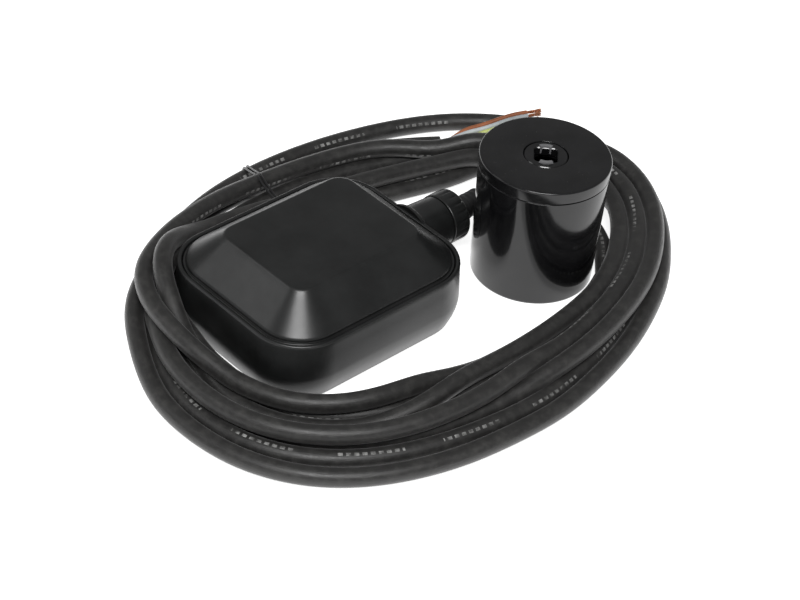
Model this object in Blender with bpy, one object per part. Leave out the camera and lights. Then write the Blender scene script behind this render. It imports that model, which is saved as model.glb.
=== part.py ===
"""A tilt float switch on its coiled three-core cable, with the loose counterweight that belongs to it.

Lengths below are millimetres and angles degrees; the mesh helpers turn them into Blender's metres.
The float lies flat on Z = 0, centred on the origin, with its cable neck pointing along +X.
"""

import math

import bmesh
import bpy
from mathutils import Matrix, Vector

MM = 0.001
GAP = 0.3
CORNER_STEPS = 7
ROUND_STEPS = 32
WIRE_STEPS = 12

# Float housing: half sizes and corner radius of the rim, then the levels where its two shells meet.
RIM_HALF_X = 55.3
RIM_HALF_Y = 46.5
RIM_CORNER = 24.0
RIM_TOP = 31.1
LEDGE_TOP = 27.3
FLANGE_BOTTOM = 29.6
FLANGE_TOP = 30.2
FLOAT_TOP = 46.0
TOP_FACE_INSET = 19.7
TOP_FACE_CORNER = 7.0
FLOOR_TOP = 2.8

# Cable neck on the float's short side, its nut, and the sleeve that comes out of it.
NECK_HEIGHT = 19.0
NECK_START = 53.4
NECK_SHOULDER = 72.5
STUB_END = 78.5
NECK_RADIUS = 12.4
STUB_RADIUS = 9.9
NECK_BORE = 7.6
NUT_WALL = 80.1
NUT_END = 82.5
NUT_MOUTH = 7.2

# Cable and its three cores.
CABLE_DIAMETER = 8.6
CABLE_RADIUS = CABLE_DIAMETER / 2
CORE_RADIUS = 1.15
CORE_PITCH = 2 * CORE_RADIUS + GAP
COPPER_RADIUS = 0.7
BARE_END = 7.0

# Switch case inside the float.
CASE_HALF_X = 36.0
CASE_HALF_Y = 20.0
CASE_CORNER = 3.0
CASE_WALL = 2.0
CASE_BOTTOM = FLOOR_TOP + GAP
CASE_TOP = 37.0
COVER_BOTTOM = 38.6
COVER_TOP = 40.6
SCREW_X = 32.7
SCREW_Y = 16.7
SCREW_RADIUS = 1.3
WIRE_HOLE_HEIGHT = 25.2

# Tilt mechanism: the ball rolls along X under a lever that lifts the switch's plunger.
BALL_RADIUS = 6.0
BALL_START = -4.0
FRAME_START = -33.7
FRAME_END = 28.2
FRAME_BOTTOM = CASE_BOTTOM + CASE_WALL + GAP
CHANNEL_FLOOR = 7.2
CHANNEL_HALF_WIDTH = 6.4
FRAME_HALF_WIDTH = 8.2
BALL_HEIGHT = CHANNEL_FLOOR + GAP / 2 + BALL_RADIUS
PIVOT_X = -28.0
PIVOT_HEIGHT = 26.0
PIVOT_RADIUS = 1.25
LEVER_SLOPE = 11.6
LEVER_LENGTH = 52.0
LEVER_THICKNESS = 1.6
LEVER_HALF_WIDTH = 4.5
LEVER_HUB = 3.0
PLUNGER_X = -8.0
PLUNGER_TIP = 23.2
PLUNGER_TOP = 31.0
PLUNGER_RADIUS = 1.2
SWITCH_START = -14.0
SWITCH_END = 10.0
SWITCH_BOTTOM = 26.4
SWITCH_TOP = 36.0
SWITCH_SIDE = 4.6
SWITCH_PIN_INSET = 1.3
SWITCH_PIN_RADIUS = 0.7
SWITCH_PIN_HEIGHT = 30.0

# Counterweight standing beside the neck.
WEIGHT_X = 102.0
WEIGHT_Y = -34.4
WEIGHT_RADIUS = 30.0
WEIGHT_TOP = 63.7
CAP_BOTTOM = 57.7
WEIGHT_BORE = 7.0
GRIP_RADIUS = 10.0
GRIP_HOLE = 5.2
GRIP_TURN = 45.0

# Oval that the outermost turn of the cable follows on the floor, with three shallow lobes.
COIL_X = 45.3
COIL_Y = -11.7
COIL_HALF_LENGTH = 145.1
COIL_HALF_WIDTH = 102.3
COIL_TURN = 11.0
COIL_LOBE = 0.023
COIL_LOBE_AT = -14.1
COIL_STATIONS = 96
COIL_MARGIN = 0.6
LAYER_HEIGHT = 7.8
# Angle round the oval, width of the bundle in cables, and its layers at the outer and inner side.
BUNDLE = (
    (-172, 4.35, 1.0, 2.0),
    (-162, 5.0, 1.0, 2.0),
    (-150, 5.4, 1.0, 2.0),
    (-120, 4.7, 1.0, 2.0),
    (-90, 3.8, 1.0, 2.0),
    (-70, 2.9, 1.7, 1.0),
    (-56.25, 2.85, 1.9, 1.0),
    (-52.5, 1.65, 1.9, 1.9),
    (-20, 2.4, 1.9, 1.9),
    (15, 4.0, 1.0, 1.0),
    (50, 5.1, 1.0, 1.0),
    (90, 3.6, 1.9, 1.9),
    (129, 1.03, 2.7, 2.7),
    (150, 2.0, 2.2, 2.4),
    (172, 3.9, 1.0, 2.0),
)
TIE_ANGLE = 85.0
TIE_HALF_WIDTH_ANGLE = 0.6
TIE_THICKNESS = 1.5

# Routes chosen point by point: the cable from the nut down to the coil, and the three stripped cores.
SLEEVE_LENGTH = 20.5
SLEEVE_RADII = (6.8, 5.0)
CABLE_ROUTE = (
    (80.2, 0.0, 19.0),
    (88.0, 0.1, 19.0),
    (96.0, 1.0, 18.8),
    (104.0, 2.9, 17.8),
    (112.5, 4.4, 14.6),
    (121.5, 3.2, 9.4),
    (130.5, -2.0, 5.4),
    (138.6, -10.0, 4.4),
    (143.4, -21.5, 4.4),
    (142.8, -33.5, 4.4),
    (138.0, -44.0, 4.4),
    (133.0, -50.8, 4.4),
    (127.8, -56.0, 4.4),
)
CORE_ROUTES = {
    "core_brown": (
        (133, 56.0, 11.2), (146, 56.0, 12.4), (158, 52.6, 13.4), (170, 46.5, 13.4), (181, 38.5, 13.0),
    ),
    "core_blue": (
        (133, 53.0, 11.2), (145, 51.5, 12.4), (156, 48.2, 13.4), (167, 43.2, 12.6), (176, 37.5, 12.2),
    ),
    "core_earth": (
        (133, 50.0, 11.2), (144, 47.4, 12.4), (155, 43.8, 12.6), (164, 39.2, 12.2), (172, 33.6, 12.0),
    ),
}
# Inner cores, as (x, z) points from the neck through the case wall to the switch.
WIRE_ROUTE = (
    (61.3, 19.0),
    (54.0, 19.5),
    (46.0, 22.0),
    (38.0, 24.8),
    (33.0, 25.8),
    (25.0, 28.6),
    (19.0, 30.7),
    (16.0, 31.0),
)

BLACK = (0.012, 0.012, 0.013)
DARK_RUBBER = (0.02, 0.02, 0.021)
STEEL = (0.55, 0.56, 0.57)
BRASS = (0.75, 0.55, 0.25)
COPPER = (0.80, 0.42, 0.26)
CREAM = (0.72, 0.68, 0.58)
GREY = (0.60, 0.60, 0.60)
GREY_IRON = (0.18, 0.17, 0.16)
RED = (0.45, 0.05, 0.03)
CORE_COLOURS = {
    "brown": (0.23, 0.09, 0.035),
    "blue": (0.03, 0.12, 0.42),
    "earth": (0.35, 0.50, 0.06),
}


def clear_scene():
    for old in list(bpy.data.objects):
        bpy.data.objects.remove(old, do_unlink=True)


def surface(name, colour, roughness, metallic):
    made = bpy.data.materials.new(name)
    made.use_nodes = True
    shader = made.node_tree.nodes["Principled BSDF"]
    shader.inputs["Base Color"].default_value = (*colour, 1.0)
    shader.inputs["Roughness"].default_value = roughness
    shader.inputs["Metallic"].default_value = metallic
    return made


def add_part(name, mesh, colour, roughness=0.5, metallic=0.0):
    """Put a finished bmesh into the scene as one named sub-part."""
    bmesh.ops.recalc_face_normals(mesh, faces=mesh.faces)
    data = bpy.data.meshes.new(name)
    mesh.to_mesh(data)
    mesh.free()
    data.shade_smooth()
    data.set_sharp_from_angle(angle=math.radians(35))
    data.materials.append(surface(name, colour, roughness, metallic))
    part = bpy.data.objects.new(name, data)
    bpy.context.scene.collection.objects.link(part)
    return part


def put_origin(part, point):
    """Give a moving part its origin on its joint, leaving the part where it is."""
    shift = Vector(point) * MM
    for vertex in part.data.vertices:
        vertex.co -= shift
    part.location = shift


def tool_body(name, mesh):
    """A body that only cuts or joins others, and is no part of the model itself."""
    tool = add_part(name, mesh, BLACK)
    tool.hide_render = True
    tool.display_type = "WIRE"
    return tool


def combine(part, tool, operation):
    change = part.modifiers.new(operation.title(), "BOOLEAN")
    change.operation = operation
    change.object = tool


def rounded_rectangle(half_x, half_y, corner, z):
    points = []
    for quarter in range(4):
        side_x = (1, -1, -1, 1)[quarter]
        side_y = (1, 1, -1, -1)[quarter]
        for step in range(CORNER_STEPS + 1):
            angle = math.radians(90.0 * (quarter + step / CORNER_STEPS))
            x = side_x * (half_x - corner) + corner * math.cos(angle)
            y = side_y * (half_y - corner) + corner * math.sin(angle)
            points.append((x, y, z))
    return points


def ring_along(axis, radius, position, steps=ROUND_STEPS):
    """A circle about the axis through the origin, at the given position along it."""
    points = []
    for step in range(steps):
        angle = 2 * math.pi * step / steps
        across, up = radius * math.cos(angle), radius * math.sin(angle)
        points.append({
            "X": (position, across, up),
            "Y": (across, position, up),
            "Z": (across, up, position),
        }[axis])
    return points


def loft(loops, closed=False):
    """Skin loops of equal length. The end loops are capped, unless the skin closes on itself."""
    mesh = bmesh.new()
    rows = [[mesh.verts.new(Vector(point) * MM) for point in loop] for loop in loops]
    pairs = list(zip(rows, rows[1:]))
    if closed:
        pairs.append((rows[-1], rows[0]))
    for lower, upper in pairs:
        for i in range(len(lower)):
            j = (i + 1) % len(lower)
            mesh.faces.new((lower[i], lower[j], upper[j], upper[i]))
    if not closed:
        mesh.faces.new(rows[0])
        mesh.faces.new(rows[-1])
    return mesh


def shifted(mesh, x=0.0, y=0.0, z=0.0):
    bmesh.ops.translate(mesh, verts=mesh.verts, vec=Vector((x, y, z)) * MM)
    return mesh


def turned_ring(axis, profile, steps=ROUND_STEPS):
    """A ring of closed (radius, position) profile about an axis."""
    return loft([ring_along(axis, radius, position, steps) for radius, position in profile], closed=True)


def rod(axis, radius, start, end, steps=ROUND_STEPS):
    return loft([ring_along(axis, radius, position, steps) for position in (start, end)])


def box(x_range, y_range, z_range):
    loops = []
    for z in z_range:
        loops.append([(x_range[0], y_range[0], z), (x_range[1], y_range[0], z),
                      (x_range[1], y_range[1], z), (x_range[0], y_range[1], z)])
    return loft(loops)


def side_plate(outline, half_width):
    """A body of the given (x, z) outline, as thick along Y as twice its half width."""
    return loft([[(x, y, z) for x, z in outline] for y in (-half_width, half_width)])


def smooth_route(points, spacing):
    """Points about one spacing apart along a smooth curve through the route's own points."""
    knots = [Vector(point) for point in points]
    knots = [2 * knots[0] - knots[1]] + knots + [2 * knots[-1] - knots[-2]]
    route = []
    for i in range(1, len(knots) - 2):
        before, start, end, after = knots[i - 1:i + 3]
        steps = max(1, round((end - start).length / spacing))
        for step in range(steps):
            t = step / steps
            route.append(0.5 * (2 * start + (end - before) * t
                                + (2 * before - 5 * start + 4 * end - after) * t ** 2
                                + (3 * start - before - 3 * end + after) * t ** 3))
    route.append(knots[-2])
    return route


def part_of_route(route, start, end):
    """The stretch of a route between two distances from its beginning."""
    kept = []
    travelled = 0.0
    for here, there in zip(route, route[1:]):
        step = (there - here).length
        for mark in (start, end):
            if travelled <= mark < travelled + step:
                kept.append(here.lerp(there, (mark - travelled) / step))
        if start < travelled + step < end:
            kept.append(there)
        travelled += step
    return kept


def route_length(route):
    return sum((there - here).length for here, there in zip(route, route[1:]))


def add_tube(name, route, radius, colour, roughness=0.6, metallic=0.0, end_radius=None, sides=2):
    """A filled tube along a route; its radius runs evenly to end_radius where one is given."""
    curve = bpy.data.curves.new(name, "CURVE")
    curve.dimensions = "3D"
    curve.bevel_depth = radius * MM
    curve.bevel_resolution = sides
    curve.use_fill_caps = True
    spline = curve.splines.new("POLY")
    spline.points.add(len(route) - 1)
    for i, point in enumerate(route):
        spline.points[i].co = (*(Vector(point) * MM), 1.0)
        share = i / (len(route) - 1)
        spline.points[i].radius = 1.0 if end_radius is None else 1.0 + share * (end_radius / radius - 1.0)
    curve.materials.append(surface(name, colour, roughness, metallic))
    part = bpy.data.objects.new(name, curve)
    bpy.context.scene.collection.objects.link(part)
    return part


def shell_loop(inset, z, corner=None):
    """An outline of the float, set in from its rim."""
    if corner is None:
        corner = RIM_CORNER - inset
    return rounded_rectangle(RIM_HALF_X - inset, RIM_HALF_Y - inset, corner, z)


def make_lower_shell():
    """Tub with a rolled rim, a ledge for the seal, and the bored cable neck."""
    outside = [(3.6, 0.0), (2.4, 0.5), (1.8, 1.4), (-0.8, 11.2), (-1.1, 12.4), (-1.0, 14.0),
               (0.0, 29.2), (0.25, 30.2), (0.8, 30.9), (1.4, RIM_TOP), (2.0, 30.9), (2.3, 30.3)]
    inside = [(2.3, LEDGE_TOP), (6.0, LEDGE_TOP), (6.0, 25.4), (2.6, 22.0), (1.7, 13.0), (5.4, FLOOR_TOP)]
    shell = add_part("lower_shell", loft([shell_loop(*level) for level in outside + inside]), BLACK, 0.38)
    neck_profile = [
        (NECK_RADIUS + 0.4, NECK_START), (NECK_RADIUS, NECK_START + 9),
        (NECK_RADIUS - 0.4, NECK_SHOULDER - 0.4), (NECK_RADIUS - 0.8, NECK_SHOULDER),
        (STUB_RADIUS, NECK_SHOULDER), (STUB_RADIUS, STUB_END),
    ]
    neck = loft([ring_along("X", radius, x) for radius, x in neck_profile])
    combine(shell, tool_body("neck_tool", shifted(neck, z=NECK_HEIGHT)), "UNION")
    bore = rod("X", NECK_BORE, NECK_START - 6, STUB_END + 1)
    combine(shell, tool_body("neck_bore_tool", shifted(bore, z=NECK_HEIGHT)), "DIFFERENCE")


def make_upper_shell():
    """Cover shaped as a truncated pyramid with rounded corners, open underneath."""
    base_inset = 4.6
    wall = 2.4
    inside = [
        (TOP_FACE_INSET + 1.2, FLOAT_TOP - wall, TOP_FACE_CORNER - 1),
        (base_inset + 3.3, 32.6), (6.4, FLANGE_BOTTOM),
    ]
    outside = [(2.6, FLANGE_BOTTOM), (2.6, FLANGE_TOP), (3.7, FLANGE_TOP), (3.8, 31.4), (base_inset, 32.4),
               (TOP_FACE_INSET - 0.9, FLOAT_TOP - 0.8, TOP_FACE_CORNER + 0.6),
               (TOP_FACE_INSET - 0.3, FLOAT_TOP - 0.2, TOP_FACE_CORNER + 0.2),
               (TOP_FACE_INSET + 0.4, FLOAT_TOP, TOP_FACE_CORNER - 0.4)]
    add_part("upper_shell", loft([shell_loop(*level) for level in inside + outside]), BLACK, 0.34)


def make_shell_seal():
    bottom, top = LEDGE_TOP + GAP, FLANGE_BOTTOM - GAP
    section = [(2.6, bottom), (5.6, bottom), (5.6, top), (2.6, top)]
    add_part("shell_seal", loft([shell_loop(*level) for level in section], closed=True), DARK_RUBBER, 0.7)


def make_gland():
    """Nut, rubber grommet and clamp ring that hold the cable in the neck."""
    grooves = 18
    groove_depth = 0.5
    nut_profile = [
        (STUB_RADIUS + GAP, NECK_SHOULDER + GAP), (NECK_RADIUS - 0.5, NECK_SHOULDER + GAP),
        (NECK_RADIUS, NECK_SHOULDER + 0.9), (NECK_RADIUS, NUT_END - 2.0),
        (NECK_RADIUS - 0.7, NUT_END - 0.7), (NECK_RADIUS - 1.8, NUT_END),
        (NUT_MOUTH, NUT_END), (NUT_MOUTH, NUT_WALL), (STUB_RADIUS + GAP, NUT_WALL),
    ]
    steps = 2 * grooves
    loops = []
    for radius, x in nut_profile:
        loop = ring_along("X", radius, x, steps)
        if radius > NECK_RADIUS - 1:
            low = ring_along("X", radius - groove_depth, x, steps)
            loop = [low[i] if i % 2 else loop[i] for i in range(steps)]
        loops.append(loop)
    add_part("gland_nut", shifted(loft(loops, closed=True), z=NECK_HEIGHT), BLACK, 0.4)
    inner, outer = CABLE_RADIUS + GAP, NECK_BORE - GAP
    grommet_start, grommet_end = 64.0, STUB_END - 0.1
    grommet = turned_ring("X", [(inner, grommet_start), (outer, grommet_start),
                                (outer, grommet_end), (inner, grommet_end)])
    add_part("cable_grommet", shifted(grommet, z=NECK_HEIGHT), DARK_RUBBER, 0.8)
    clamp_start, clamp_end = STUB_END + GAP, NUT_WALL - GAP
    clamp = [(NUT_MOUTH, clamp_start), (STUB_RADIUS, clamp_start), (STUB_RADIUS, clamp_end), (NUT_MOUTH, clamp_end)]
    add_part("clamp_ring", shifted(turned_ring("X", clamp), z=NECK_HEIGHT), STEEL, 0.3, 1.0)


def screw_places():
    return [(x, y) for x in (-SCREW_X, SCREW_X) for y in (-SCREW_Y, SCREW_Y)]


def make_switch_case():
    """Open case, seal and cover, held together by four screws."""
    inner = (CASE_HALF_X - CASE_WALL, CASE_HALF_Y - CASE_WALL, 8.0)
    outer = (CASE_HALF_X, CASE_HALF_Y, CASE_CORNER)
    floor = CASE_BOTTOM + CASE_WALL
    case = add_part("switch_case", loft([
        rounded_rectangle(*outer, CASE_BOTTOM), rounded_rectangle(*outer, CASE_TOP),
        rounded_rectangle(*inner, CASE_TOP), rounded_rectangle(*inner, floor)]), CREAM, 0.5)
    seal_levels = [(inner, CASE_TOP + GAP), (outer, CASE_TOP + GAP),
                   (outer, COVER_BOTTOM - GAP), (inner, COVER_BOTTOM - GAP)]
    seal = add_part("case_seal", loft([rounded_rectangle(*size, z) for size, z in seal_levels], closed=True), RED, 0.7)
    cover = add_part("case_cover", loft([rounded_rectangle(*outer, z) for z in (COVER_BOTTOM, COVER_TOP)]), CREAM, 0.5)
    thread_end = CASE_TOP - 9.0
    for number, (x, y) in enumerate(screw_places(), start=1):
        hole = rod("Z", SCREW_RADIUS + GAP, thread_end, COVER_TOP + 1, WIRE_STEPS)
        hole_tool = tool_body(f"screw_hole_tool_{number}", shifted(hole, x, y))
        for part in (case, seal, cover):
            combine(part, hole_tool, "DIFFERENCE")
        head = COVER_TOP + GAP
        screw = loft([ring_along("Z", radius, z, WIRE_STEPS) for radius, z in (
            (SCREW_RADIUS, thread_end + GAP), (SCREW_RADIUS, head), (2.5, head), (2.5, head + 1.0), (1.9, head + 1.5))])
        add_part(f"case_screw_{number}", shifted(screw, x, y), STEEL, 0.3, 1.0)
    wire_hole = box((CASE_HALF_X - 4, CASE_HALF_X + 1), (-4.6, 4.6), (WIRE_HOLE_HEIGHT - 2.3, WIRE_HOLE_HEIGHT + 2.6))
    combine(case, tool_body("wire_hole_tool", wire_hole), "DIFFERENCE")


def make_track_frame():
    """U-shaped channel for the ball, whose sides carry the lever's pin and the switch."""
    rail_top, hinge_top, switch_side_top = 14.0, 30.0, 34.0
    outline = [
        (FRAME_START, FRAME_BOTTOM), (FRAME_END, FRAME_BOTTOM), (FRAME_END, rail_top), (14.0, rail_top),
        (12.0, switch_side_top), (SWITCH_START - 2, switch_side_top),
        (SWITCH_START - 6, hinge_top), (FRAME_START, hinge_top),
    ]
    frame = add_part("track_frame", side_plate(outline, FRAME_HALF_WIDTH), GREY, 0.45)
    end_wall = 1.8
    channel = box((FRAME_START + end_wall, FRAME_END - end_wall),
                  (-CHANNEL_HALF_WIDTH, CHANNEL_HALF_WIDTH), (CHANNEL_FLOOR, 40.0))
    combine(frame, tool_body("channel_tool", channel), "DIFFERENCE")
    pin_holes = [(PIVOT_X, PIVOT_HEIGHT, PIVOT_RADIUS)]
    pin_holes += [(x, SWITCH_PIN_HEIGHT, SWITCH_PIN_RADIUS) for x in switch_pin_places()]
    for number, (x, z, radius) in enumerate(pin_holes, start=1):
        hole = rod("Y", radius + GAP, -FRAME_HALF_WIDTH - 1, FRAME_HALF_WIDTH + 1, WIRE_STEPS)
        combine(frame, tool_body(f"pin_hole_tool_{number}", shifted(hole, x, 0, z)), "DIFFERENCE")


def switch_pin_places():
    return (SWITCH_START + SWITCH_PIN_INSET, SWITCH_END - SWITCH_PIN_INSET)


def make_ball():
    mesh = bmesh.new()
    bmesh.ops.create_uvsphere(mesh, u_segments=24, v_segments=14, radius=BALL_RADIUS * MM)
    ball = add_part("steel_ball", mesh, STEEL, 0.12, 1.0)
    ball.location = Vector((BALL_START, 0, BALL_HEIGHT)) * MM


def make_lever():
    """Flat arm on a round hub; it slopes down over the ball and is lifted as the ball rolls away."""
    half = LEVER_THICKNESS / 2
    root = math.asin(half / LEVER_HUB)
    hub_steps = 18
    outline = []
    for step in range(hub_steps + 1):
        angle = root + (2 * math.pi - 2 * root) * step / hub_steps
        outline.append((LEVER_HUB * math.cos(angle), LEVER_HUB * math.sin(angle)))
    outline += [(LEVER_LENGTH, -half), (LEVER_LENGTH, half)]
    slope = math.radians(LEVER_SLOPE)
    sloped = [(PIVOT_X + u * math.cos(slope) + v * math.sin(slope),
               PIVOT_HEIGHT - u * math.sin(slope) + v * math.cos(slope)) for u, v in outline]
    lever = add_part("trip_lever", side_plate(sloped, LEVER_HALF_WIDTH), BRASS, 0.35, 1.0)
    put_origin(lever, (PIVOT_X, 0, PIVOT_HEIGHT))
    bore = rod("Y", PIVOT_RADIUS + GAP, -LEVER_HALF_WIDTH - 1, LEVER_HALF_WIDTH + 1, WIRE_STEPS)
    combine(lever, tool_body("lever_bore_tool", shifted(bore, PIVOT_X, 0, PIVOT_HEIGHT)), "DIFFERENCE")
    pin = rod("Y", PIVOT_RADIUS, -FRAME_HALF_WIDTH, FRAME_HALF_WIDTH, WIRE_STEPS)
    add_part("lever_pin", shifted(pin, PIVOT_X, 0, PIVOT_HEIGHT), STEEL, 0.25, 1.0)


def make_switch():
    """Snap switch: housing open at one side, its cover, plunger, contact blade, terminals and pins."""
    x_range, z_range = (SWITCH_START, SWITCH_END), (SWITCH_BOTTOM, SWITCH_TOP)
    cover_side = CHANNEL_HALF_WIDTH - GAP
    housing = add_part("switch_housing", box(x_range, (-cover_side, SWITCH_SIDE), z_range), RED, 0.4)
    wall = 2.6
    floor = 1.6
    hollow = box((SWITCH_START + wall, SWITCH_END - wall),
                 (-SWITCH_SIDE, SWITCH_SIDE + 1), (SWITCH_BOTTOM + floor, SWITCH_TOP - floor))
    combine(housing, tool_body("switch_hollow_tool", hollow), "DIFFERENCE")
    guide = rod("Z", PLUNGER_RADIUS + GAP, SWITCH_BOTTOM - 1, SWITCH_BOTTOM + 2.4, WIRE_STEPS)
    combine(housing, tool_body("plunger_guide_tool", shifted(guide, PLUNGER_X)), "DIFFERENCE")
    cover = add_part("switch_cover", box(x_range, (SWITCH_SIDE + GAP, cover_side), z_range), BLACK, 0.4)
    for number, x in enumerate(switch_pin_places(), start=1):
        hole = rod("Y", SWITCH_PIN_RADIUS + GAP, -FRAME_HALF_WIDTH, FRAME_HALF_WIDTH, WIRE_STEPS)
        hole_tool = tool_body(f"switch_pin_hole_tool_{number}", shifted(hole, x, 0, SWITCH_PIN_HEIGHT))
        for part in (housing, cover):
            combine(part, hole_tool, "DIFFERENCE")
        pin = rod("Y", SWITCH_PIN_RADIUS, -FRAME_HALF_WIDTH, FRAME_HALF_WIDTH, WIRE_STEPS)
        add_part(f"switch_pin_{number}", shifted(pin, x, 0, SWITCH_PIN_HEIGHT), STEEL, 0.25, 1.0)
    stem = rod("Z", PLUNGER_RADIUS, PLUNGER_TIP, PLUNGER_TOP, WIRE_STEPS)
    plunger = add_part("switch_plunger", shifted(stem, PLUNGER_X), CREAM, 0.3)
    put_origin(plunger, (PLUNGER_X, 0, PLUNGER_TIP))
    blade_height = PLUNGER_TOP + 2.2
    blade = box((SWITCH_START + wall + 1, SWITCH_END - wall - 1), (-1.6, 1.6), (blade_height, blade_height + 0.4))
    add_part("contact_blade", blade, COPPER, 0.3, 1.0)
    for number, y in enumerate((-CORE_PITCH, 0.0, CORE_PITCH), start=1):
        tab = box((SWITCH_END + GAP, SWITCH_END + 5.6), (y - 0.9, y + 0.9), (30.7, 31.3))
        add_part(f"switch_terminal_{number}", tab, BRASS, 0.3, 1.0)


def make_inner_leads():
    """The cable's end in the neck and its three cores running to the switch."""
    add_tube("cable_entry", [Vector((x, 0, NECK_HEIGHT)) for x in (61.6, 70.0, 79.9)], CABLE_RADIUS, DARK_RUBBER)
    for name, y in (("brown", -CORE_PITCH), ("blue", 0.0), ("earth", CORE_PITCH)):
        route = smooth_route([(x, y, z) for x, z in WIRE_ROUTE], 4.0)
        add_tube(f"inner_lead_{name}", route, CORE_RADIUS, CORE_COLOURS[name])


def make_counterweight():
    """Cup with an iron ballast ring, a lid, and the round insert that grips the cable."""
    centre = bpy.data.objects.new("counterweight_centre", None)
    centre.location = Vector((WEIGHT_X, WEIGHT_Y, 0)) * MM
    bpy.context.scene.collection.objects.link(centre)
    cup_top = CAP_BOTTOM - GAP
    cup = [(WEIGHT_BORE, 0.6), (WEIGHT_BORE + 0.6, 0.0), (26.9, 0.0), (28.0, 0.6), (28.5, 1.9), (29.9, cup_top),
           (26.9, cup_top), (25.6, 3.2), (9.2, 3.2), (9.0, CAP_BOTTOM - 4), (WEIGHT_BORE, CAP_BOTTOM - 4)]
    iron = [(9.5, 3.5), (25.2, 3.5), (26.0, 49.0), (9.5, 49.0)]
    grip_seat, plug_bottom = 59.4, 54.5
    lid = [(WEIGHT_BORE, CAP_BOTTOM), (WEIGHT_BORE, grip_seat), (GRIP_RADIUS + GAP, grip_seat),
           (GRIP_RADIUS + GAP, WEIGHT_TOP - 0.3), (GRIP_RADIUS + 0.6, WEIGHT_TOP), (29.0, WEIGHT_TOP),
           (29.6, WEIGHT_TOP - 0.25), (WEIGHT_RADIUS, WEIGHT_TOP - 0.8), (WEIGHT_RADIUS, CAP_BOTTOM + 0.2),
           (29.8, CAP_BOTTOM), (26.4, CAP_BOTTOM), (26.4, plug_bottom), (24.4, plug_bottom), (24.4, CAP_BOTTOM)]
    steps = 48
    parts = [
        add_part("weight_cup", turned_ring("Z", cup, steps), BLACK, 0.18),
        add_part("weight_ballast", turned_ring("Z", iron, steps), GREY_IRON, 0.7, 1.0),
        add_part("weight_lid", turned_ring("Z", lid, steps), BLACK, 0.2),
        add_part("weight_grip", make_grip_mesh(), BLACK, 0.25),
    ]
    for part in parts:
        part.parent = centre


def make_grip_mesh():
    bottom, top = 59.7, WEIGHT_TOP - 0.1
    hole = (GRIP_HOLE, GRIP_HOLE, 1.6)
    rim = (GRIP_RADIUS, GRIP_RADIUS, GRIP_RADIUS - 0.1)
    levels = [(hole, bottom), (hole, top), (rim, top), (rim, bottom)]
    mesh = loft([rounded_rectangle(*size, z) for size, z in levels], closed=True)
    turn = Matrix.Rotation(math.radians(GRIP_TURN), 3, "Z")
    bmesh.ops.rotate(mesh, verts=mesh.verts, matrix=turn)
    return mesh


def around_bundle(angle):
    """Width and layers of the cable bundle at an angle, eased between its stated places."""
    places = [(at, values) for at, *values in BUNDLE]
    first = places[0][0]
    angle = first + (angle - first) % 360
    places.append((first + 360, places[0][1]))
    for (start, before), (end, after) in zip(places, places[1:]):
        if start <= angle <= end:
            share = (1 - math.cos(math.pi * (angle - start) / (end - start))) / 2
            return [a + (b - a) * share for a, b in zip(before, after)]
    raise ValueError(f"no place in the bundle for the angle {angle}")


def oval_point(angle, inset, z):
    """A point at the given inset from the outermost turn's centre line."""
    turn = math.radians(COIL_TURN)
    lobe = 1 + COIL_LOBE * math.cos(3 * math.radians(angle - COIL_LOBE_AT))
    along = (COIL_HALF_LENGTH - inset) * lobe * math.cos(math.radians(angle))
    across = (COIL_HALF_WIDTH - inset) * lobe * math.sin(math.radians(angle))
    x = COIL_X + along * math.cos(turn) - across * math.sin(turn)
    y = COIL_Y + along * math.sin(turn) + across * math.cos(turn)
    return (x, y, z)


def bundle_edges(angle, margin):
    """Outer and inner inset of the bundle's surface, and its height at each."""
    width, outer_layers, inner_layers = around_bundle(angle)
    reach = CABLE_RADIUS + margin
    heights = [2 * CABLE_RADIUS + margin + (layers - 1) * LAYER_HEIGHT for layers in (outer_layers, inner_layers)]
    return -reach, width * CABLE_DIAMETER + reach, heights[0], heights[1]


def make_coil():
    """The coiled cable as one solid of the bundle's outer shape."""
    edge = 1.5
    sections = []
    for station in range(COIL_STATIONS):
        angle = 360 * station / COIL_STATIONS
        outer, inner, outer_top, inner_top = bundle_edges(angle, COIL_MARGIN)
        corners = [(outer, 0.0), (outer, outer_top - edge), (outer + edge, outer_top),
                   (inner - edge, inner_top), (inner, inner_top - edge), (inner, 0.0)]
        sections.append([oval_point(angle, inset, z) for inset, z in corners])
    add_part("cable_coil", loft(sections, closed=True), DARK_RUBBER, 0.6)


def make_tie():
    """Wire tie as a hoop over the bundle, with its two legs down to the floor."""
    near, far = COIL_MARGIN + GAP, COIL_MARGIN + GAP + TIE_THICKNESS
    foot = 0.2
    loops = []
    for angle in (TIE_ANGLE - TIE_HALF_WIDTH_ANGLE, TIE_ANGLE + TIE_HALF_WIDTH_ANGLE):
        inside = bundle_edges(angle, near)
        outside = bundle_edges(angle, far)
        corners = [(outside[0], foot), (outside[0], outside[2]), (outside[1], outside[3]), (outside[1], foot),
                   (inside[1], foot), (inside[1], inside[3]), (inside[0], inside[2]), (inside[0], foot)]
        loops.append([oval_point(angle, inset, z) for inset, z in corners])
    add_part("coil_tie", loft(loops), BLACK, 0.4)


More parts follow.
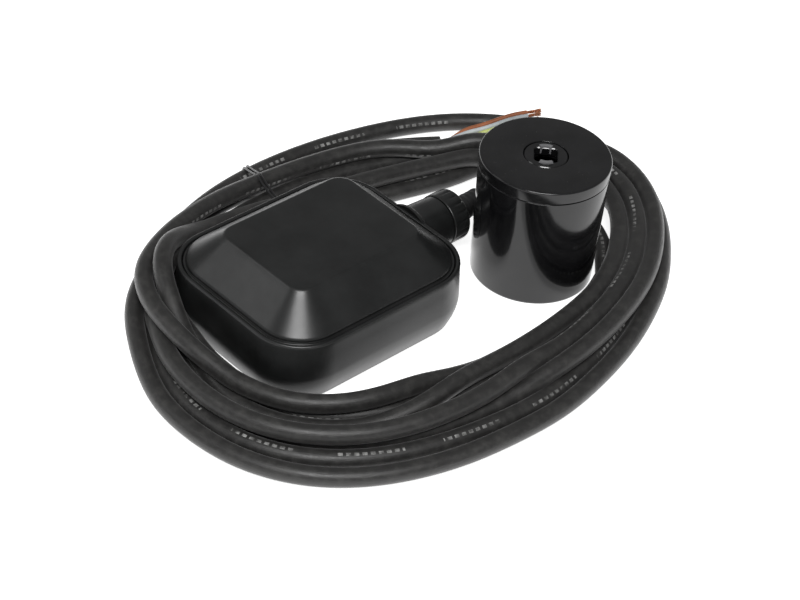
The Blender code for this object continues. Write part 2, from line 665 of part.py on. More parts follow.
def make_cable():
    route = smooth_route(CABLE_ROUTE, 8.0)
    thick, thin = SLEEVE_RADII
    sleeve = part_of_route(route, 0.0, SLEEVE_LENGTH)
    add_tube("strain_relief", sleeve, thick, BLACK, 0.6, end_radius=thin, sides=4)
    lead = part_of_route(route, SLEEVE_LENGTH + GAP, route_length(route) - GAP)
    add_tube("cable_lead", lead, CABLE_RADIUS, DARK_RUBBER)
    for name, points in CORE_ROUTES.items():
        route = smooth_route(points, 5.0)
        bare_start = route_length(route) - BARE_END
        colour = CORE_COLOURS[name.removeprefix("core_")]
        add_tube(name, part_of_route(route, 0.0, bare_start), CORE_RADIUS, colour, 0.4)
        copper = part_of_route(route, bare_start + GAP, bare_start + BARE_END - 0.01)
        add_tube(name + "_copper", copper, COPPER_RADIUS, COPPER, 0.3, 1.0)



def main():
    clear_scene()
    make_lower_shell()
    make_upper_shell()
    make_shell_seal()
    make_gland()
    make_switch_case()
    make_track_frame()
    make_ball()
    make_lever()
    make_switch()
    make_inner_leads()
    make_counterweight()
    make_coil()
    make_tie()
    make_cable()


main()
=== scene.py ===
"""Looks of a tilt float switch, its coiled three-core cable and the counterweight standing beside it.

Lengths are millimetres in the part's own frame, and MM turns them into metres. Materials, lights and the
floor are in metres.
"""

import math

import bmesh
import bpy
import numpy as np
from mathutils import Matrix, Vector


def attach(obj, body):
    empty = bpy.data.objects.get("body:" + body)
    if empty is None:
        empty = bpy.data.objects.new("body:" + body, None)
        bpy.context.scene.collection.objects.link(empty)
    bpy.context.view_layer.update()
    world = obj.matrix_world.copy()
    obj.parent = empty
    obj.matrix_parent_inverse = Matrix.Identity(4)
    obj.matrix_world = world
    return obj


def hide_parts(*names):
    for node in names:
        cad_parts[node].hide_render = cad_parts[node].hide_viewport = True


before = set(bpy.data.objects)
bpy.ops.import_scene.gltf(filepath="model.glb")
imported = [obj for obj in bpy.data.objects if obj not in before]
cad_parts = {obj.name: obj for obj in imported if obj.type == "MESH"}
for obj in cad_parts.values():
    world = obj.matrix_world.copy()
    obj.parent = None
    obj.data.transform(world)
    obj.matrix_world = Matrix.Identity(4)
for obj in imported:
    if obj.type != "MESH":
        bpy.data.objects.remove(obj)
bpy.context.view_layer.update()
MM = 0.001

# Camera.
CAMERA_PLACE = (-587.6, -616.3, 691.06)
CAMERA_FORWARD = (0.5634, 0.5418, -0.6237)
CAMERA_ROLL = 5.65
CAMERA_LENS = 110.26
SENSOR_WIDTH = 36.0

# Stage, in metres and watts: each lamp's place, target, size and power.
FLOOR_HALF_SIZE = 4.0
FLOOR_GLOW = 0.8
SURROUNDING = 0.26
SOFTBOXES = {
    "left_softbox": ((-0.92, 0.84, 0.95), (0.0, 0.0, 0.03), (0.5, 0.5), 1.6),
    "front_softbox": ((-0.62, -0.66, 1.30), (0.03, -0.02, 0.03), (0.85, 0.35), 20.0),
}

# Cable, and the oval that its outermost turn follows on the floor.
CABLE_DIAMETER = 8.6
CABLE_RADIUS = CABLE_DIAMETER / 2
COIL_CENTRE = (45.3, -11.7)
COIL_HALF_LENGTH = 145.1
COIL_HALF_WIDTH = 102.3
COIL_TURN = 11.0
COIL_LOBE = 0.023
COIL_LOBE_AT = -14.1
COIL_START = -54.0
COIL_END = -322.0
TURNS = 7
ANGLE_STEP = 3.0
STEPS_PER_TURN = round(360 / ANGLE_STEP)
ROUTE_SPACING = 2.2
CABLE_SIDES = 20
FLOOR = 4.3     # height of the centre line of a turn that lies on the floor
SECOND = 12.0   # and of one that lies on those
# The cable from the nut down to where the coil begins.
LEAD_ROUTE = (
    (80.2, 0.0, 19.0),
    (88.0, 0.1, 19.0),
    (96.0, 1.0, 18.8),
    (104.0, 2.9, 17.8),
    (112.5, 4.4, 14.6),
    (121.5, 3.2, 9.4),
    (130.5, -2.0, 5.4),
    (138.6, -10.0, 4.4),
    (143.4, -21.5, 4.4),
    (142.8, -33.5, 4.4),
    (138.0, -44.0, 4.4),
    (133.0, -50.8, 4.4),
)
# How the turns lie on each other: at each angle round the oval, each turn's inset and height,
# from the turn that leaves the float to the one with the stripped end.
LAY = (
    (-52, (26.4, FLOOR), (21.0, SECOND), (17.0, FLOOR), (12.6, SECOND), (4.0, SECOND), (8.2, FLOOR), (-0.5, FLOOR)),
    (-62, (22.4, FLOOR), (19.2, SECOND), (15.2, FLOOR), (12.0, SECOND), (4.6, SECOND), (6.8, FLOOR), (-1.8, FLOOR)),
    (-75, (27.6, FLOOR), (24.5, SECOND), (19.5, FLOOR), (15.0, SECOND), (5.8, SECOND), (7.0, FLOOR), (-2.0, FLOOR)),
    (-90, (33.5, FLOOR), (29.5, SECOND), (24.0, FLOOR), (17.8, SECOND), (9.6, SECOND), (7.2, FLOOR), (-1.4, FLOOR)),
    (-100, (37.5, FLOOR), (32.5, 11.6), (27.4, FLOOR), (20.5, 12.3), (13.0, 9.5), (8.5, FLOOR), (-0.2, FLOOR)),
    (-110, (41.5, FLOOR), (34.8, 11.6), (30.8, FLOOR), (20.8, 12.6), (18.4, FLOOR), (9.8, FLOOR), (1.0, FLOOR)),
    (-120, (43.3, 8.3), (33.0, 12.2), (35.5, FLOOR), (19.6, 12.7), (19.8, FLOOR), (10.8, FLOOR), (0.9, FLOOR)),
    (-130, (40.5, 12.5), (29.5, 8.5), (38.2, FLOOR), (18.4, 12.6), (20.6, FLOOR), (11.4, FLOOR), (1.0, FLOOR)),
    (-140, (38.0, 12.8), (29.6, FLOOR), (38.3, FLOOR), (17.4, 12.5), (20.6, FLOOR), (11.2, FLOOR), (0.3, FLOOR)),
    (-150, (36.4, 12.7), (29.5, FLOOR), (38.3, FLOOR), (17.0, 12.4), (20.4, FLOOR), (10.8, FLOOR), (-0.3, FLOOR)),
    (-180, (31.0, 12.2), (26.0, FLOOR), (34.6, FLOOR), (13.4, 12.2), (17.4, FLOOR), (8.7, FLOOR), (0.0, FLOOR)),
    (-195, (25.4, 13.4), (24.6, 4.8), (32.6, 5.5), (11.5, 12.2), (16.4, FLOOR), (8.2, FLOOR), (-0.2, FLOOR)),
    (-210, (14.5, 19.8), (20.6, 12.8), (25.4, 6.0), (8.3, 12.2), (17.2, FLOOR), (8.8, FLOOR), (0.5, FLOOR)),
    (-220, (6.0, 20.6), (13.6, 20.6), (18.4, 13.4), (8.8, 12.3), (14.4, FLOOR), (6.0, FLOOR), (0.2, 9.6)),
    (-232, (1.6, 21.3), (6.6, 28.6), (10.3, 20.8), (9.2, 12.5), (10.1, FLOOR), (1.5, FLOOR), (0.3, 12.8)),
    (-255, (9.0, 19.2), (18.0, SECOND), (26.5, 10.5), (22.0, FLOOR), (13.0, FLOOR), (-1.6, FLOOR), (4.2, 10.5)),
    (-270, (12.6, SECOND), (34.0, SECOND), (38.4, FLOOR), (29.7, FLOOR), (17.2, FLOOR), (-1.7, FLOOR), (6.9, FLOOR)),
    (-285, (17.5, SECOND), (40.8, SECOND), (45.1, FLOOR), (36.4, FLOOR), (21.8, FLOOR), (-0.3, FLOOR), (9.0, FLOOR)),
    (-300, (20.0, 11.3), (44.3, SECOND), (48.6, FLOOR), (39.9, FLOOR), (24.4, FLOOR), (-0.2, FLOOR), (11.9, FLOOR)),
    (-310, (28.5, SECOND), (44.7, SECOND), (49.0, FLOOR), (40.3, FLOOR), (26.0, FLOOR), (-0.8, FLOOR), (15.0, FLOOR)),
    (-321, (35.0, SECOND), (45.0, SECOND), (49.6, FLOOR), (40.8, FLOOR), (28.0, FLOOR), (-1.8, FLOOR), (18.5, FLOOR)),
    (-333, (38.0, 19.6), (39.5, SECOND), (42.0, FLOOR), (32.0, FLOOR), (21.5, FLOOR), (-1.0, FLOOR), (18.5, FLOOR)),
    (-345, (33.5, SECOND), (37.2, FLOOR), (28.5, FLOOR), (19.9, FLOOR), (11.3, FLOOR), (0.0, FLOOR), (18.5, FLOOR)),
    (-380, (24.8, SECOND), (20.5, FLOOR), (15.0, SECOND), (6.0, SECOND), (10.3, FLOOR), (1.7, FLOOR), (18.5, FLOOR)),
    (-400, (20.9, SECOND), (16.9, FLOOR), (12.6, SECOND), (3.8, SECOND), (8.4, FLOOR), (-0.2, FLOOR), (18.5, FLOOR)),
)

# How the stated lay is settled: rounds of smoothing and of pushing apart, the share of the way back to the
# stated lay in each round, and the room kept beside the float and the counterweight.
WANTED_ROUNDS = 8
SETTLING_ROUNDS = 300
PULL_BACK = 0.02
PUSH_ROUNDS = 6
ROOM_ROUNDS = 4
LAST_ROUNDS = 3
SPARE_ROOM = 0.4
WALL_CROWN = 1.2

# Ink marks on the jacket: where round it they begin, in turns, and their slow twist in turns a metre; the
# length of a dash and of a group of them in metres, their inked shares, and half the line's width in turns.
PRINT_SIDE = 0.28
PRINT_TWIST = 0.55
DASH_LENGTH = 0.0034
DASH_SHARE = 0.6
GROUP_LENGTH = 0.046
GROUP_SHARE = 0.62
LINE_HALF_WIDTH = 0.027

# Rubber sleeve at the nut: its ribs, as shares of its length, and its rounded end.
SLEEVE_LENGTH = 20.5
SLEEVE_RADII = (6.6, 5.2)
RIBS_FROM = 0.28
RIBS_TO = 0.9
RIB_SPACING = 0.155
RIB_DEPTH = 0.22
SLEEVE_END = 0.8
SLEEVE_END_DEPTH = 0.6
SLEEVE_RINGS = 64
SLEEVE_SIDES = 32

# Stripped cores beyond the cable's end.
CORE_RADIUS = 1.15
COPPER_STRANDS = 7
COPPER_STRAND_RADIUS = 0.24
COPPER_TWIST = 2.4
BARE_LENGTH = 7.0
CORE_SPACING = 1.2
CORE_START = 3.0       # how far inside the cable's end a core begins
CORE_STRAIGHT = 5.0    # and how far it runs straight from there
# Each core's place across and above the cable's centre, and its way from there to its tip.
CORE_PLACES = {"brown": (1.6, -0.9), "blue": (0.0, 1.7), "earth": (-1.6, -0.9)}
CORE_KNOTS = {
    "brown": ((146.0, 56.6, 7.0), (156.5, 53.0, 8.6), (170.0, 48.0, 11.2), (183.5, 41.6, 12.2)),
    "blue": ((144.0, 53.6, 8.0), (154.0, 49.6, 9.4), (167.0, 45.0, 11.8), (181.0, 39.4, 12.4)),
    "earth": ((142.0, 50.6, 7.4), (151.0, 46.6, 10.0), (163.0, 42.0, 12.0), (177.0, 37.0, 12.6)),
}

# Wire tie round the coil: the angle where it passes the outermost turn, its slant in degrees for each
# millimetre of inset, and half the angle between its two windings.
TIE_OUTER_ANGLE = 85.5
TIE_SLANT = 0.24
TIE_HALF_GAP = 0.42
TIE_WIRE_RADIUS = 0.55
TIE_STEPS = 120

# Float and counterweight.
RIM_HALF_X = 55.3
RIM_HALF_Y = 46.5
RIM_CORNER = 24.0
NECK_HEIGHT = 19.0
LEDGE_TOP = 27.3
FLOAT_TOP = 46.0
TOP_INSET = 19.7
TOP_CORNER = 7.0
WEIGHT_PLACE = (102.0, -34.4)
WEIGHT_RADIUS = 30.0
WEIGHT_TOP = 63.7
WEIGHT_STEPS = 160
NUT_STEPS = 144
NUT_GROOVES = 18
GROOVE_DEPTH = 0.55
GROOVES_FROM = 74.2
GROOVES_TO = 80.9

CORE_COLOURS = {
    "brown": (0.30, 0.10, 0.04),
    "blue": (0.42, 0.45, 0.47),
    "earth": (0.45, 0.50, 0.16),
}


# ---------------------------------------------------------------- materials

def node(tree, kind, **settings):
    """A new shader node with the given settings."""
    made = tree.nodes.new(kind)
    for name, value in settings.items():
        setattr(made, name, value)
    return made


def noise(tree, coordinates, scale, detail=4.0, roughness=0.5):
    """A noise texture over the given coordinates; its scale is in cells a metre."""
    made = node(tree, "ShaderNodeTexNoise")
    made.inputs["Scale"].default_value = scale
    made.inputs["Detail"].default_value = detail
    made.inputs["Roughness"].default_value = roughness
    tree.links.new(coordinates, made.inputs["Vector"])
    return made.outputs["Fac"]


def ramp(tree, value, low, high, out_low, out_high):
    """The value carried from one range to another, held at the ends."""
    made = node(tree, "ShaderNodeMapRange")
    tree.links.new(value, made.inputs["Value"])
    for name, number in (("From Min", low), ("From Max", high), ("To Min", out_low), ("To Max", out_high)):
        made.inputs[name].default_value = number
    return made.outputs["Result"]


def mixed(tree, share, first, second):
    """Two colours mixed by a share; each is a colour or a socket."""
    made = node(tree, "ShaderNodeMix", data_type="RGBA")
    tree.links.new(share, made.inputs["Factor"])
    for name, colour in (("A", first), ("B", second)):
        socket = next(s for s in made.inputs if s.name == name and s.type == "RGBA")
        if isinstance(colour, tuple):
            socket.default_value = (*colour, 1.0)
        else:
            tree.links.new(colour, socket)
    return next(s for s in made.outputs if s.type == "RGBA")


def bumped(tree, height, distance, under=None):
    """A bump of the given depth in metres, over another where one is given."""
    made = node(tree, "ShaderNodeBump")
    made.inputs["Strength"].default_value = 1.0
    made.inputs["Distance"].default_value = distance
    tree.links.new(height, made.inputs["Height"])
    if under is not None:
        tree.links.new(under, made.inputs["Normal"])
    return made.outputs["Normal"]


def start_material(name):
    """A new material, its node tree, its shader and its texture coordinates."""
    made = bpy.data.materials.new(name)
    made.use_nodes = True
    tree = made.node_tree
    return made, tree, tree.nodes["Principled BSDF"], node(tree, "ShaderNodeTexCoord")


def moulded(name, colour, roughness, grain=1400.0, grain_depth=0.00002, metallic=0.0,
            waviness=0.00004, dust=0.0, spread=0.25, unevenness=0.2):
    """Moulded or machined surface: uneven gloss, fine grain, slow waves, mottling and specks of dust."""
    made, tree, shader, place = start_material(name)
    place = place.outputs["Object"]
    shader.inputs["Metallic"].default_value = metallic
    patches = noise(tree, place, 60.0, 6.0, 0.6)
    lighter = tuple(min(1.0, channel * (1 + spread) + 0.002) for channel in colour)
    darker = tuple(channel * (1 - spread) for channel in colour)
    body = mixed(tree, ramp(tree, patches, 0.35, 0.65, 0.0, 1.0), darker, lighter)
    if dust > 0:
        specks = ramp(tree, noise(tree, place, 900.0, 2.0, 0.6), 0.70, 0.76, 0.0, dust)
        body = mixed(tree, specks, body, (0.30, 0.30, 0.29))
    tree.links.new(body, shader.inputs["Base Color"])
    gloss = noise(tree, place, 190.0, 5.0, 0.65)
    uneven = ramp(tree, gloss, 0.3, 0.7, roughness * (1 - unevenness), roughness * (1 + unevenness))
    tree.links.new(uneven, shader.inputs["Roughness"])
    waves = bumped(tree, noise(tree, place, 45.0, 2.0), waviness)
    fine = bumped(tree, noise(tree, place, grain, 3.0, 0.6), grain_depth, waves)
    tree.links.new(fine, shader.inputs["Normal"])
    return made


def cable_rubber(name):
    """Rubber jacket with drawn streaks along it, scuffs, and a broken row of plain light ink marks."""
    made, tree, shader, place = start_material(name)
    shader.inputs["Sheen Weight"].default_value = 0.12
    shader.inputs["Sheen Roughness"].default_value = 0.45
    along = place.outputs["UV"]
    split = node(tree, "ShaderNodeSeparateXYZ")
    tree.links.new(along, split.inputs[0])
    stretched = node(tree, "ShaderNodeMapping")
    stretched.inputs["Scale"].default_value = (6.0, 1.0, 1.0)
    tree.links.new(along, stretched.inputs["Vector"])
    streaks = noise(tree, stretched.outputs[0], 26.0, 4.0, 0.6)
    scuffs = noise(tree, place.outputs["Object"], 220.0, 6.0, 0.7)
    worn = ramp(tree, scuffs, 0.45, 0.75, 0.0, 1.0)
    body = mixed(tree, worn, (0.016, 0.0155, 0.015), (0.036, 0.035, 0.033))
    marks = ink_marks(tree, split.outputs["X"], split.outputs["Y"], scuffs)
    body = mixed(tree, marks, body, (0.42, 0.42, 0.41))
    tree.links.new(body, shader.inputs["Base Color"])
    tree.links.new(ramp(tree, scuffs, 0.3, 0.75, 0.36, 0.58), shader.inputs["Roughness"])
    drawn = bumped(tree, streaks, 0.00012)
    tree.links.new(bumped(tree, scuffs, 0.00005, drawn), shader.inputs["Normal"])
    return made


def arithmetic(tree, operation, first, second=0):
    """A Math node's result; each operand is a number or a socket."""
    made = node(tree, "ShaderNodeMath", operation=operation)
    for slot, value in enumerate((first, second)):
        if isinstance(value, (int, float)):
            made.inputs[slot].default_value = value
        else:
            tree.links.new(value, made.inputs[slot])
    return made.outputs[0]


def ink_marks(tree, along, around, wear):
    """Share of ink: short plain dashes in groups along one line of the jacket, worn away in places."""
    dash = arithmetic(tree, "FRACT", arithmetic(tree, "MULTIPLY", along, 1 / DASH_LENGTH))
    group = arithmetic(tree, "FRACT", arithmetic(tree, "MULTIPLY", along, 1 / GROUP_LENGTH))
    drift = arithmetic(tree, "ADD", arithmetic(tree, "MULTIPLY", along, PRINT_TWIST), PRINT_SIDE)
    offset = arithmetic(tree, "FRACT", arithmetic(tree, "SUBTRACT", around, drift))
    line = arithmetic(tree, "ABSOLUTE", arithmetic(tree, "SUBTRACT", offset, 0.5))
    share = arithmetic(tree, "MULTIPLY", arithmetic(tree, "LESS_THAN", dash, DASH_SHARE),
                       arithmetic(tree, "LESS_THAN", group, GROUP_SHARE))
    share = arithmetic(tree, "MULTIPLY", share, arithmetic(tree, "LESS_THAN", line, LINE_HALF_WIDTH))
    return arithmetic(tree, "MULTIPLY", share, ramp(tree, wear, 0.35, 0.6, 0.75, 0.0))


# ---------------------------------------------------------------- meshes

def add_piece(name, points, faces, material, body, replaced=(), slot=None, sharp=40.0):
    """A mesh of points in millimetres, smooth apart from its sharp edges, riding on a body."""
    data = bpy.data.meshes.new(name)
    data.from_pydata([tuple(c * MM for c in point) for point in points], [], faces)
    mesh = bmesh.new()
    mesh.from_mesh(data)
    bmesh.ops.recalc_face_normals(mesh, faces=mesh.faces)
    mesh.to_mesh(data)
    mesh.free()
    data.shade_smooth()
    data.set_sharp_from_angle(angle=math.radians(sharp))
    data.materials.append(material)
    piece = bpy.data.objects.new(name, data)
    bpy.context.scene.collection.objects.link(piece)
    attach(piece, body)
    if replaced:
        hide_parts(*replaced)
    return piece


def skin(loops, closed=False):
    """Points and faces of a skin over loops of equal length, capped unless it closes on itself."""
    size = len(loops[0])
    points = [tuple(point) for loop in loops for point in loop]
    pairs = [(row, row + 1) for row in range(len(loops) - 1)]
    if closed:
        pairs.append((len(loops) - 1, 0))
    faces = []
    for lower, upper in pairs:
        for i in range(size):
            j = (i + 1) % size
            faces.append((lower * size + i, lower * size + j, upper * size + j, upper * size + i))
    if not closed:
        faces.append(tuple(range(size)))
        faces.append(tuple(range((len(loops) - 1) * size, len(loops) * size)))
    return points, faces


def joined(skins):
    """Points and faces of several skins as one."""
    points, faces = [], []
    for more_points, more_faces in skins:
        faces += [tuple(len(points) + i for i in face) for face in more_faces]
        points += more_points
    return points, faces


def frames_along(path):
    """Two directions across the path at each of its points, carried along without twist."""
    path = np.array(path, float)
    ahead = np.gradient(path, axis=0)
    ahead /= np.linalg.norm(ahead, axis=1)[:, None]
    first = np.cross(ahead[0], (0.0, 0.0, 1.0))
    sides = []
    for direction in ahead:
        first = first - direction * first.dot(direction)
        first /= np.linalg.norm(first)
        sides.append((first, np.cross(direction, first)))
    return sides


def ring_round(centre, radius, right, up, sides):
    """A circle of points round a centre, across the way of its path."""
    return [np.array(centre) + radius * (right * math.cos(a) + up * math.sin(a))
            for a in np.linspace(0, 2 * math.pi, sides, endpoint=False)]


def tube(name, path, radii, material, body, sides, replaced, slot):
    """A capped tube along a path, with a UV of metres along it and share of a turn round it."""
    radii = radii if hasattr(radii, "__len__") else [radii] * len(path)
    loops = [ring_round(centre, radius, *across, sides)
             for centre, radius, across in zip(path, radii, frames_along(path))]
    points, faces = skin(loops)
    piece = add_piece(name, points, faces, material, body, replaced, slot, sharp=50)
    lay_uv(piece, path, sides)
    return piece


def lay_uv(piece, path, sides):
    """The tube's UV map; the last strip of faces round it runs up to 1 and not back to 0."""
    steps = np.linalg.norm(np.diff(np.array(path, float), axis=0), axis=1)
    travelled = np.concatenate(([0.0], np.cumsum(steps))) * MM
    layer = piece.data.uv_layers.new(name="along")
    for face in piece.data.polygons:
        corners = [piece.data.loops[i].vertex_index for i in face.loop_indices]
        wraps = len(corners) == 4 and max(c % sides for c in corners) == sides - 1 \
            and min(c % sides for c in corners) == 0
        for i, corner in zip(face.loop_indices, corners):
            around = corner % sides
            if wraps and around == 0:
                around = sides
            layer.data[i].uv = (travelled[corner // sides], around / sides)


def rounded_rectangle(half_x, half_y, corner, z, steps=14):
    """A level outline with rounded corners, each of so many steps."""
    points = []
    for quarter in range(4):
        side_x = (1, -1, -1, 1)[quarter]
        side_y = (1, 1, -1, -1)[quarter]
        for step in range(steps + 1):
            angle = math.radians(90.0 * (quarter + step / steps))
            points.append((side_x * (half_x - corner) + corner * math.cos(angle),
                           side_y * (half_y - corner) + corner * math.sin(angle), z))
    return points


def turned(profile, axis, place, steps=96):
    """Points and faces of a closed (radius, position) profile turned about an axis."""
    loops = []
    for radius, position in profile:
        loop = []
        for angle in np.linspace(0, 2 * math.pi, steps, endpoint=False):
            across, up = radius * math.cos(angle), radius * math.sin(angle)
            at = {"X": (position, across, up), "Z": (across, up, position)}[axis]
            loop.append(tuple(a + b for a, b in zip(at, place)))
        loops.append(loop)
    return skin(loops, closed=True)


def rounded_profile(corners, steps=5):
    """A closed (radius, position) outline from (radius, position, rounding) corners."""
    outline = []
    for i, (r, z, rounding) in enumerate(corners):
        here = np.array((r, z), float)
        before = np.array(corners[i - 1][:2], float) - here
        after = np.array(corners[(i + 1) % len(corners)][:2], float) - here
        if rounding <= 0:
            outline.append((r, z))
            continue
        start = here + before / np.linalg.norm(before) * min(rounding, np.linalg.norm(before) * 0.49)
        end = here + after / np.linalg.norm(after) * min(rounding, np.linalg.norm(after) * 0.49)
        for t in np.linspace(0, 1, steps + 1):
            point = (1 - t) ** 2 * start + 2 * t * (1 - t) * here + t ** 2 * end
            outline.append(tuple(point))
    return outline


# ---------------------------------------------------------------- cable

def oval_point(angle, inset, z):
    """A point at the given inset from the outermost turn's centre line."""
    turn = math.radians(COIL_TURN)
    lobe = 1 + COIL_LOBE * math.cos(3 * math.radians(angle - COIL_LOBE_AT))
    along = (COIL_HALF_LENGTH - inset) * lobe * math.cos(math.radians(angle))
    across = (COIL_HALF_WIDTH - inset) * lobe * math.sin(math.radians(angle))
    x = COIL_CENTRE[0] + along * math.cos(turn) - across * math.sin(turn)
    y = COIL_CENTRE[1] + along * math.sin(turn) + across * math.cos(turn)
    return np.array((x, y, z))


def eased(values, rounds):
    """Values smoothed along the first axis, their ends kept."""
    for _ in range(rounds):
        values = values.copy()
        values[1:-1] = 0.25 * values[:-2] + 0.5 * values[1:-1] + 0.25 * values[2:]
    return values


def room_beside(points):
    """How far each point of the cable's line is from the float's and the counterweight's outside."""
    middle = (RIM_HALF_X + WALL_CROWN - RIM_CORNER, RIM_HALF_Y + WALL_CROWN - RIM_CORNER)
    across = np.abs(points[:, :2]) - middle
    beyond_middle = np.linalg.norm(np.clip(across, 0, None), axis=1) + np.minimum(across.max(axis=1), 0)
    to_float = beyond_middle - RIM_CORNER
    to_weight = np.linalg.norm(points[:, :2] - WEIGHT_PLACE, axis=1) - WEIGHT_RADIUS
    return np.minimum(to_float, to_weight)


def coil_lay():
    """Inset and height of the cable at every angle step, with overlapping turns pushed apart."""
    stated = sorted((angle - 360 * turn, *row[turn]) for angle, *row in LAY for turn in range(TURNS))
    columns = np.array(stated)
    angles = np.arange(COIL_START, COIL_END - 360 * (TURNS - 1), -ANGLE_STEP)
    wanted = np.stack([np.interp(angles, columns[:, 0], columns[:, i]) for i in (1, 2)], axis=1)
    wanted = eased(wanted, WANTED_ROUNDS)
    lay = wanted.copy()
    for _ in range(SETTLING_ROUNDS):
        push = PULL_BACK * (wanted - lay)
        for turns_apart in range(1, TURNS):
            shift = turns_apart * STEPS_PER_TURN
            if shift >= len(lay):
                continue
            apart = lay[shift:] - lay[:-shift]
            distance = np.maximum(np.linalg.norm(apart, axis=1), 0.01)
            overlap = np.clip(CABLE_DIAMETER - distance, 0, None)[:, None] * apart / distance[:, None]
            push[shift:] += 0.5 * overlap
            push[:-shift] -= 0.5 * overlap
        lay += eased(push, PUSH_ROUNDS)
        lay[:, 1] = np.maximum(lay[:, 1], FLOOR)
        points = np.array([oval_point(angle, *place) for angle, place in zip(angles, lay)])
        short = np.clip(CABLE_RADIUS + SPARE_ROOM - room_beside(points), 0, None)
        lay[:, 0] -= eased(short, ROOM_ROUNDS)
    return angles, eased(lay, LAST_ROUNDS)


def smooth_route(knots, spacing):
    """Points about one spacing apart along a smooth curve through the knots."""
    knots = [np.array(knot, float) for knot in knots]
    knots = [2 * knots[0] - knots[1]] + knots + [2 * knots[-1] - knots[-2]]
    route = []
    for before, start, end, after in zip(knots, knots[1:], knots[2:], knots[3:]):
        steps = max(1, round(np.linalg.norm(end - start) / spacing))
        for t in np.arange(steps) / steps:
            route.append(0.5 * (2 * start + (end - before) * t
                                + (2 * before - 5 * start + 4 * end - after) * t ** 2
                                + (3 * start - before - 3 * end + after) * t ** 3))
    route.append(knots[-2])
    return route


def route_length(route):
    """Length of the line through a route's points."""
    return float(np.linalg.norm(np.diff(np.array(route), axis=0), axis=1).sum())


def cable_path():
    """The cable's centre line from the nut to its stripped end, and the angles and lay of its coil."""
    angles, lay = coil_lay()
    coil = [oval_point(angle, inset, z) for angle, (inset, z) in zip(angles, lay)]
    return smooth_route(list(LEAD_ROUTE) + coil[1:], ROUTE_SPACING), angles, lay


def make_cable(paint):
    """The whole cable as one tube of slightly uneven thickness, with its sleeve, stripped end and tie."""
    path, angles, lay = cable_path()
    radii = [CABLE_RADIUS * (1 + 0.006 * math.sin(i * 0.13) + 0.005 * math.sin(i * 0.047 + 1.0))
             for i in range(len(path))]
    cable = tube("cable", path, radii, paint["cable"], "float", CABLE_SIDES, ("cable_lead", "cable_coil"),
                 "cable_rubber")
    sleeve = make_sleeve(path, paint)
    cores = make_cores(path, paint)
    tie = make_tie(angles, lay, paint)


def make_sleeve(path, paint):
    """Tapered rubber sleeve that shares the cable's route, with shallow ribs and a rounded end."""
    path = np.array(path)
    travelled = np.concatenate(([0.0], np.cumsum(np.linalg.norm(np.diff(path, axis=0), axis=1))))
    marks = np.linspace(0.0, SLEEVE_LENGTH, SLEEVE_RINGS)
    route = np.stack([np.interp(marks, travelled, path[:, axis]) for axis in range(3)], axis=1)
    radii = []
    for mark in marks:
        share = mark / SLEEVE_LENGTH
        radius = SLEEVE_RADII[0] + (SLEEVE_RADII[1] - SLEEVE_RADII[0]) * share
        if RIBS_FROM < share < RIBS_TO:
            radius -= RIB_DEPTH * (0.5 - 0.5 * math.cos(2 * math.pi * (share - RIBS_FROM) / RIB_SPACING))
        end_left = (1 - share) * SLEEVE_LENGTH
        if end_left < SLEEVE_END:
            radius -= SLEEVE_END_DEPTH * (1 - end_left / SLEEVE_END) ** 2
        radii.append(radius)
    return tube("cable_sleeve", route, radii, paint["sleeve"], "float", SLEEVE_SIDES, ("strain_relief",),
                "seal_rubber")


def core_routes(end, heading):
    """Knots of the three cores: out of the cable's end, fanning and rising over the turns beside it."""
    across = np.cross(heading, (0.0, 0.0, 1.0))
    across /= np.linalg.norm(across)
    routes = {}
    for name, (side, up) in CORE_PLACES.items():
        start = end - heading * CORE_START - across * side + np.array((0.0, 0.0, up))
        routes[name] = [start, start + heading * CORE_STRAIGHT, *CORE_KNOTS[name]]
    return routes


def make_cores(path, paint):
    """The three insulated cores beyond the cable's end, each with its bare copper."""
    end = np.array(path[-1])
    heading = end - np.array(path[-4])
    heading /= np.linalg.norm(heading)
    pieces = []
    for name, knots in core_routes(end, heading).items():
        route = smooth_route(knots, CORE_SPACING)
        last = max(i for i in range(len(route)) if route_length(route[i:]) > BARE_LENGTH)
        pieces.append(tube(f"core_{name}_wire", route[:last + 1], CORE_RADIUS, paint[name], "float", 14,
                           (f"core_{name}",), f"core_{name}"))
        pieces.append(make_copper(name, route[last - 1:], paint))
    return pieces


def make_copper(name, route, paint):
    """Bare strands of one core, twisted round each other and splayed a little at the tip."""
    skins = []
    for strand in range(COPPER_STRANDS):
        line = []
        for i, (centre, (right, up)) in enumerate(zip(route, frames_along(route))):
            share = i / (len(route) - 1)
            turn = 2 * math.pi * strand / (COPPER_STRANDS - 1) + COPPER_TWIST * share
            spread = 0.0 if strand == COPPER_STRANDS - 1 else 0.5 + 0.35 * share ** 2
            line.append(np.array(centre) + spread * (right * math.cos(turn) + up * math.sin(turn)))
        skins.append(skin([ring_round(centre, COPPER_STRAND_RADIUS, *across, 8)
                           for centre, across in zip(line, frames_along(line))]))
    return add_piece(f"core_{name}_strands", *joined(skins), paint["copper"], "float",
                     (f"core_{name}_copper",), "copper")


def turns_at(angle, angles, lay):
    """Inset and height of every turn where it passes an angle of the oval."""
    found = []
    for turn in range(TURNS + 1):
        target = angle - 360 * turn
        if angles[-1] <= target <= angles[0]:
            found.append([np.interp(-target, -angles, lay[:, i]) for i in (0, 1)])
    return np.array(found)


